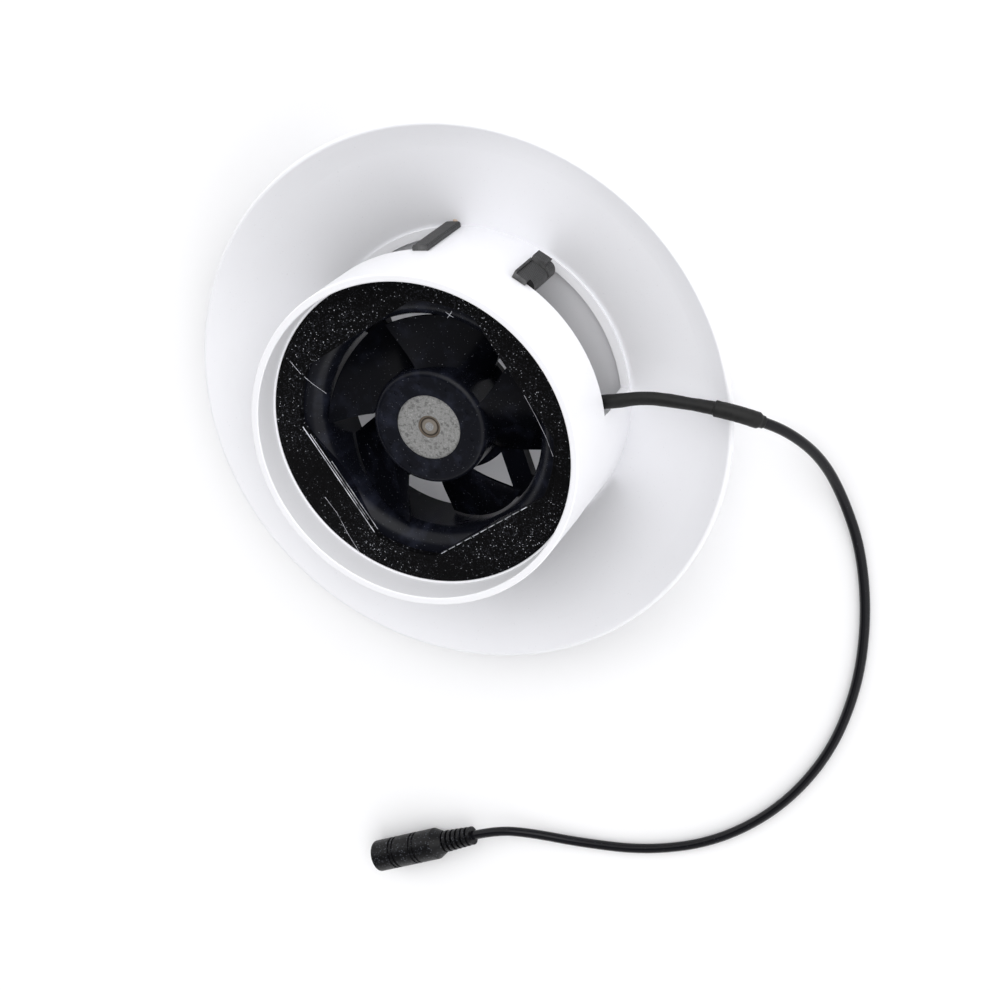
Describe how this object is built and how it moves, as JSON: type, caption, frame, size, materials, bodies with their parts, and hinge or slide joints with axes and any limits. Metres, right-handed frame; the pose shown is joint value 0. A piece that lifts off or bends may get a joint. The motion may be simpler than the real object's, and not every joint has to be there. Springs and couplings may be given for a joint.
{
  "type": "vent cowl fan",
  "caption": "White mushroom-hat vent cowl that slips over a pipe, with an axial fan on a printed holder inside and a short lead with a round power socket.",
  "frame": {"origin": "centre of the flat crown on which the cowl rests, on the axis of tube and rotor", "axes": "+Z from the crown to the open mouth of the tube; X and Y square to the fan housing sides"},
  "size_m": [0.2937, 0.2566, 0.0672],
  "materials": {
    "white_plastic": "satin moulded polypropylene",
    "printed_plastic": "black printed filament with fine layer lines",
    "fan_plastic": "glossy navy-black moulded plastic",
    "rotor_steel": "mottled galvanised steel",
    "bearing_steel": "polished",
    "bush_brass": "dull turned",
    "magnet": "bonded ferrite",
    "core_steel": "stacked laminations",
    "winding": "enamelled copper wire",
    "insulator": "moulded nylon",
    "board": "green solder mask",
    "chip": "black epoxy",
    "label": "plain foil",
    "wire_red": "red insulation",
    "wire_black": "black insulation",
    "cable_jacket": "glossy black sheath",
    "heat_shrink": "matte black heat-shrink",
    "socket_rubber": "satin moulded",
    "contact_metal": "nickel plated"
  },
  "bodies": {
    "root": {"vent_tube": "white_plastic", "cowl_hat": "white_plastic", "fan_holder": "printed_plastic", "edge_clip_plain_upper": "printed_plastic", "edge_clip_notched_upper": "printed_plastic", "edge_clip_plain_lower": "printed_plastic", "edge_clip_notched_lower": "printed_plastic", "fan_housing": "fan_plastic", "fan_struts": "fan_plastic", "motor_base": "fan_plastic", "lower_bearing_outer_race": "bearing_steel", "lower_bearing_balls": "bearing_steel", "upper_bearing_outer_race": "bearing_steel", "upper_bearing_balls": "bearing_steel", "stator_core": "core_steel", "stator_insulators": "insulator", "stator_coils": "winding", "circuit_board": "board", "board_parts": "chip", "motor_label": "label", "fan_wire_red": "wire_red", "fan_wire_black": "wire_black", "power_cable": "cable_jacket", "shrink_sleeve": "heat_shrink", "end_sleeve": "heat_shrink", "socket_body": "socket_rubber", "socket_barrel": "contact_metal", "socket_plug": "insulator", "socket_pin": "contact_metal"},
    "rotor": {"impeller_hub": "fan_plastic", "impeller_blade_1": "fan_plastic", "impeller_blade_2": "fan_plastic", "impeller_blade_3": "fan_plastic", "impeller_blade_4": "fan_plastic", "impeller_blade_5": "fan_plastic", "rotor_cup": "rotor_steel", "shaft_bush": "bush_brass", "ring_magnet": "magnet", "rotor_shaft": "bearing_steel", "shaft_retainer": "bearing_steel", "preload_washer": "bearing_steel", "lower_bearing_inner_race": "bearing_steel", "upper_bearing_inner_race": "bearing_steel"}
  },
  "joints": [
    {"name": "rotor_spin", "type": "hinge", "parent": "root", "child": "rotor", "pos_m": [0, 0, 0.04], "axis": [0, 0, 1], "continuous": true}
  ]
}
